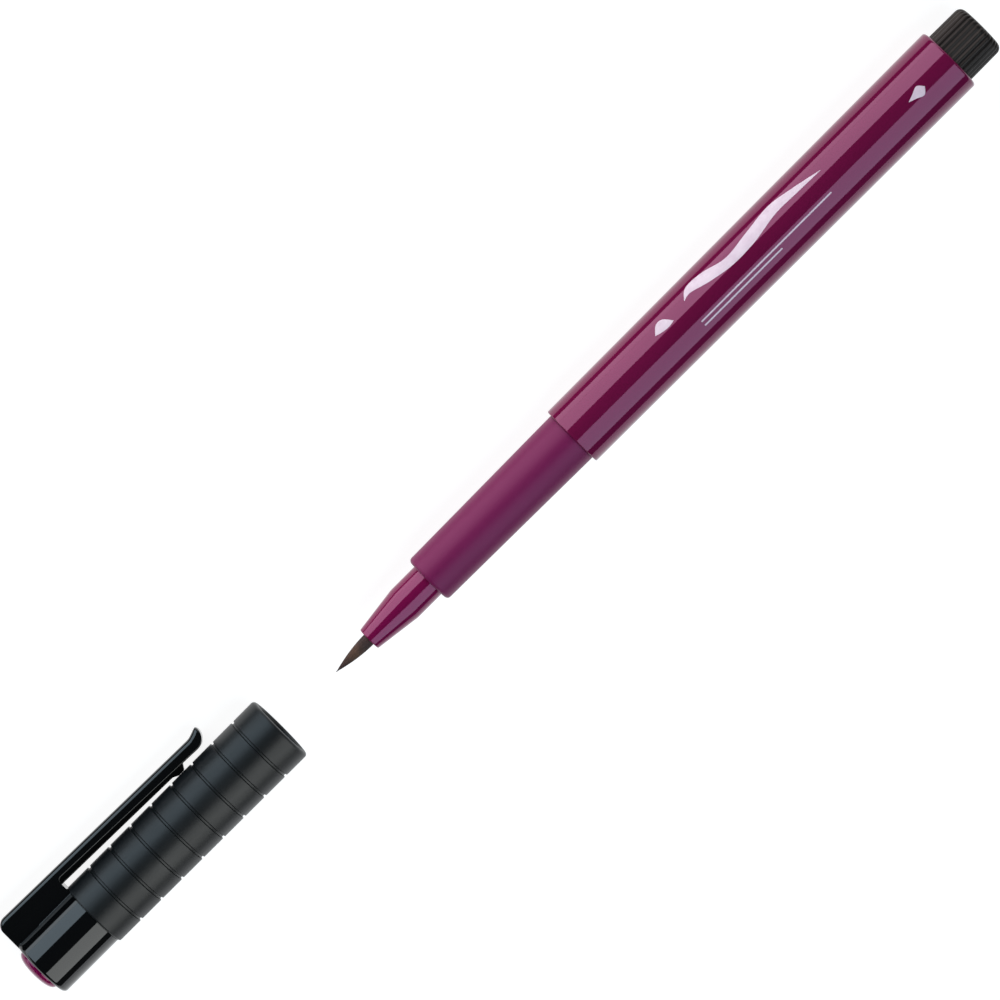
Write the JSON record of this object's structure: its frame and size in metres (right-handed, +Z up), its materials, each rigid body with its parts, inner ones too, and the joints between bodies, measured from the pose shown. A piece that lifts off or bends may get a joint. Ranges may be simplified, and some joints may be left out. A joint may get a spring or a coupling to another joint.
{
  "type": "brush pen",
  "caption": "Brush pen with a pointed flexible brush tip, slim grip, round barrel and a ribbed pull-off cap with a pocket clip.",
  "frame": {"origin": "middle of the overall length and width, on the surface the pen rests on", "axes": "+X along the pen's axis, the way the brush tip points; +Z up; the cap lies ahead of the nib on the same axis with its clip towards -Y"},
  "size_m": [0.2144, 0.016, 0.0122],
  "materials": {
    "barrel_plastic": "polished moulding",
    "grip_plastic": "fine matte moulding",
    "nose_plastic": "polished moulding",
    "brush_fibre": "ink-stained synthetic fibre",
    "ink_fibre": "ink-soaked fibre",
    "reservoir_film": "polished moulding",
    "plug_plastic": "satin fluted moulding",
    "cap_sleeve_plastic": "fine matte moulding",
    "cap_head_plastic": "polished moulding",
    "disc_plastic": "polished moulding",
    "inner_cup_plastic": "as moulded"
  },
  "bodies": {
    "pen": {"barrel": "barrel_plastic", "grip_sleeve": "grip_plastic", "front_section": "nose_plastic", "brush_stem": "brush_fibre", "ink_fibre": "ink_fibre", "reservoir_film": "reservoir_film", "rear_plug": "plug_plastic"},
    "nib": {"brush_tip": "brush_fibre"},
    "cap_liner": {"inner_cup": "inner_cup_plastic"},
    "cap": {"cap_sleeve": "cap_sleeve_plastic", "cap_head": "cap_head_plastic", "colour_disc": "disc_plastic", "clip_root": "cap_head_plastic"},
    "clip": {"clip_arm": "cap_head_plastic"}
  },
  "joints": [
    {"name": "cap_slide", "type": "slide", "parent": "pen", "child": "cap_liner", "axis": [-1, 0, 0], "range_m": [0, 0.0656]},
    {"name": "cap_spin", "type": "hinge", "parent": "cap_liner", "child": "cap", "pos_m": [0.07848, 0.00194, 0.0061], "axis": [1, 0, 0], "continuous": true},
    {"name": "clip_flex", "type": "hinge", "parent": "cap", "child": "clip", "pos_m": [0.0936, -0.00705, 0.00235], "axis": [0, -0.3855, 0.9227], "range_deg": [0, 4], "stiffness_Nm_per_rad": 1.2},
    {"name": "nib_flex", "type": "hinge", "parent": "pen", "child": "nib", "pos_m": [0.0312, 0.00194, 0.0061], "axis": [0, 1, 0], "range_deg": [-20, 20], "stiffness_Nm_per_rad": 0.01}
  ]
}
